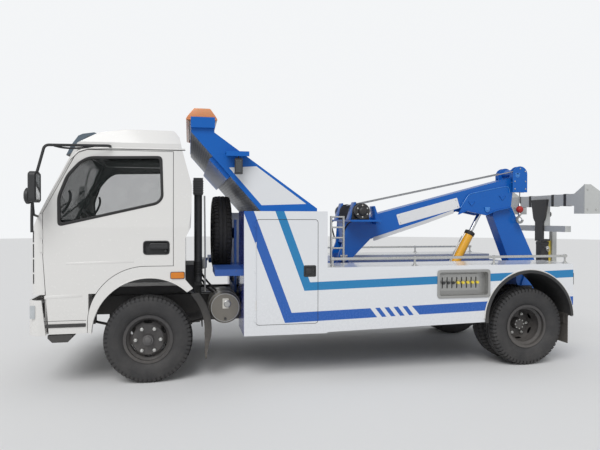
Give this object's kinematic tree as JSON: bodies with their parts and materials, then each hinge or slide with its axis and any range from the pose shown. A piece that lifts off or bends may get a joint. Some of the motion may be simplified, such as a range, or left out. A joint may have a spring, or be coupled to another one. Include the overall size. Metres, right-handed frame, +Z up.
{
  "type": "light tow truck",
  "caption": "Cab-over tow truck with twin rear wheels, side lockers, a lifting boom with winches and hooks, and a folding wheel-lift stinger.",
  "frame": {"origin": "on the ground, under the middle of the truck's length and width", "axes": "+Z up, +X towards the rear of the truck, -Y the driver's side (left)"},
  "size_m": [5.88, 2.4, 2.5594],
  "materials": {
    "body_white": "gloss white paint",
    "body_blue": "gloss blue paint",
    "chassis_black": "satin black paint",
    "cast_grey": "bare casting",
    "tyre_rubber": "matte rubber",
    "black_plastic": "grained plastic",
    "clear_glass": "clear",
    "lamp_plastic": "moulded lens",
    "checker_aluminium": "raised tread pattern",
    "bright_steel": "polished",
    "wire_steel": "galvanised wire",
    "cylinder_yellow": "gloss yellow paint",
    "seat_fabric": "woven"
  },
  "bodies": {
    "chassis": {"frame": "chassis_black", "front_axle": "chassis_black", "rear_axle": "chassis_black", "leaf_springs": "chassis_black", "engine": "cast_grey", "driveshaft": "chassis_black", "tanks": "chassis_black", "exhaust": "cast_grey", "front_bumper": "body_white", "mudguards": "black_plastic", "deck": "body_blue", "toolboxes": "body_white", "side_bodies": "body_white", "lever_boxes": "chassis_black", "handrails": "bright_steel", "rear_bumper": "chassis_black", "light_mast": "body_blue", "mast_panel": "checker_aluminium", "light_bar": "lamp_plastic", "lamps": "lamp_plastic", "spare_tyre": "tyre_rubber", "spare_wheel": "chassis_black", "spare_carrier": "body_blue", "air_intake": "black_plastic"},
    "cab": {"cab_shell": "body_white", "cab_glass": "clear_glass", "cab_trim": "black_plastic", "dashboard": "black_plastic", "seats": "seat_fabric", "mirrors": "black_plastic"},
    "steering_wheel": {"steering_wheel": "black_plastic"},
    "cab_door_left": {"cab_door_left": "body_white", "door_glass_left": "clear_glass"},
    "cab_door_right": {"cab_door_right": "body_white", "door_glass_right": "clear_glass"},
    "knuckle_left": {"knuckle_left": "cast_grey"},
    "knuckle_right": {"knuckle_right": "cast_grey"},
    "front_wheel_left": {"front_wheel_left": "chassis_black", "front_tyre_left": "tyre_rubber"},
    "front_wheel_right": {"front_wheel_right": "chassis_black", "front_tyre_right": "tyre_rubber"},
    "rear_wheels_left": {"rear_wheels_left": "chassis_black", "rear_tyres_left": "tyre_rubber"},
    "rear_wheels_right": {"rear_wheels_right": "chassis_black", "rear_tyres_right": "tyre_rubber"},
    "toolbox_door_left": {"toolbox_door_left": "body_white"},
    "toolbox_door_right": {"toolbox_door_right": "body_white"},
    "boom": {"boom": "body_blue", "boom_fork": "body_blue", "boom_gussets": "body_blue", "boom_head": "body_blue", "winches": "chassis_black", "tow_ropes": "wire_steel"},
    "winch_drum_left": {"winch_drum_left": "wire_steel"},
    "winch_drum_right": {"winch_drum_right": "wire_steel"},
    "lift_barrel": {"lift_barrel": "cylinder_yellow"},
    "lift_rod": {"lift_rod": "bright_steel"},
    "stinger_outer": {"stinger_outer": "chassis_black"},
    "stinger_inner": {"stinger_inner": "chassis_black"},
    "wheel_cradle": {"wheel_cradle": "cast_grey"}
  },
  "joints": [
    {"name": "cab_tilt", "type": "hinge", "parent": "chassis", "child": "cab", "pos_m": [-2.885, 0, 0.775], "axis": [0, -1, 0], "range_deg": [0, 45]},
    {"name": "cab_door_left_hinge", "type": "hinge", "parent": "cab", "child": "cab_door_left", "pos_m": [-2.808, -0.964, 1], "axis": [0, 0, -1], "range_deg": [0, 65]},
    {"name": "cab_door_right_hinge", "type": "hinge", "parent": "cab", "child": "cab_door_right", "pos_m": [-2.808, 0.964, 1], "axis": [0, 0, 1], "range_deg": [0, 65]},
    {"name": "steer_left", "type": "hinge", "parent": "chassis", "child": "knuckle_left", "pos_m": [-1.92, -0.7, 0.4], "axis": [0, 0, 1], "range_deg": [-35, 35]},
    {"name": "steer_right", "type": "hinge", "parent": "chassis", "child": "knuckle_right", "pos_m": [-1.92, 0.7, 0.4], "axis": [0, 0, 1], "range_deg": [-35, 35]},
    {"name": "steering_wheel_turn", "type": "hinge", "parent": "cab", "child": "steering_wheel", "pos_m": [-2.39, -0.43, 1.47], "axis": [0.5736, 0, 0.8192], "range_deg": [-530, 530]},
    {"name": "front_wheel_left_spin", "type": "hinge", "parent": "knuckle_left", "child": "front_wheel_left", "pos_m": [-1.92, -0.825, 0.4], "axis": [0, -1, 0], "continuous": true},
    {"name": "front_wheel_right_spin", "type": "hinge", "parent": "knuckle_right", "child": "front_wheel_right", "pos_m": [-1.92, 0.825, 0.4], "axis": [0, -1, 0], "continuous": true},
    {"name": "rear_wheels_left_spin", "type": "hinge", "parent": "chassis", "child": "rear_wheels_left", "pos_m": [1.88, -0.795, 0.4], "axis": [0, -1, 0], "continuous": true},
    {"name": "rear_wheels_right_spin", "type": "hinge", "parent": "chassis", "child": "rear_wheels_right", "pos_m": [1.88, 0.795, 0.4], "axis": [0, -1, 0], "continuous": true},
    {"name": "toolbox_door_left_hinge", "type": "hinge", "parent": "chassis", "child": "toolbox_door_left", "pos_m": [-0.948, -1.084, 1], "axis": [0, 0, -1], "range_deg": [0, 95]},
    {"name": "toolbox_door_right_hinge", "type": "hinge", "parent": "chassis", "child": "toolbox_door_right", "pos_m": [-0.948, 1.084, 1], "axis": [0, 0, 1], "range_deg": [0, 95]},
    {"name": "boom_lift", "type": "hinge", "parent": "chassis", "child": "boom", "pos_m": [0.15, 0, 1.065], "axis": [0, -1, 0], "range_deg": [0, 15]},
    {"name": "winch_left_turn", "type": "hinge", "parent": "boom", "child": "winch_drum_left", "pos_m": [0.286, -0.26, 1.592], "axis": [0, -1, 0], "continuous": true},
    {"name": "winch_right_turn", "type": "hinge", "parent": "boom", "child": "winch_drum_right", "pos_m": [0.286, 0.26, 1.592], "axis": [0, -1, 0], "continuous": true},
    {"name": "lift_barrel_swing", "type": "hinge", "parent": "chassis", "child": "lift_barrel", "pos_m": [1.51, 0, 0.85], "axis": [0, -1, 0], "range_deg": [0, 18.59]},
    {"name": "lift_rod_slide", "type": "slide", "parent": "lift_barrel", "child": "lift_rod", "axis": [0.4718, 0, 0.8817], "range_m": [0, 0.3562]},
    {"name": "stinger_fold", "type": "hinge", "parent": "boom", "child": "stinger_outer", "pos_m": [2.7565, 0, 0.53], "axis": [0, 1, 0], "range_deg": [0, 95]},
    {"name": "stinger_extend", "type": "slide", "parent": "stinger_outer", "child": "stinger_inner", "axis": [0, 0, 1], "range_m": [0, 0.42]},
    {"name": "cradle_swivel", "type": "hinge", "parent": "stinger_inner", "child": "wheel_cradle", "pos_m": [2.77, 0, 1.57], "axis": [1, 0, 0], "range_deg": [-30, 30]}
  ],
  "couplings": [
    {"joint": "steer_right", "follows": "steer_left", "ratio": 1},
    {"joint": "steering_wheel_turn", "follows": "steer_left", "ratio": 15},
    {"joint": "lift_barrel_swing", "follows": "boom_lift", "ratio": 1.2263},
    {"joint": "lift_rod_slide", "follows": "boom_lift", "m_per_rad": 1.3528}
  ]
}
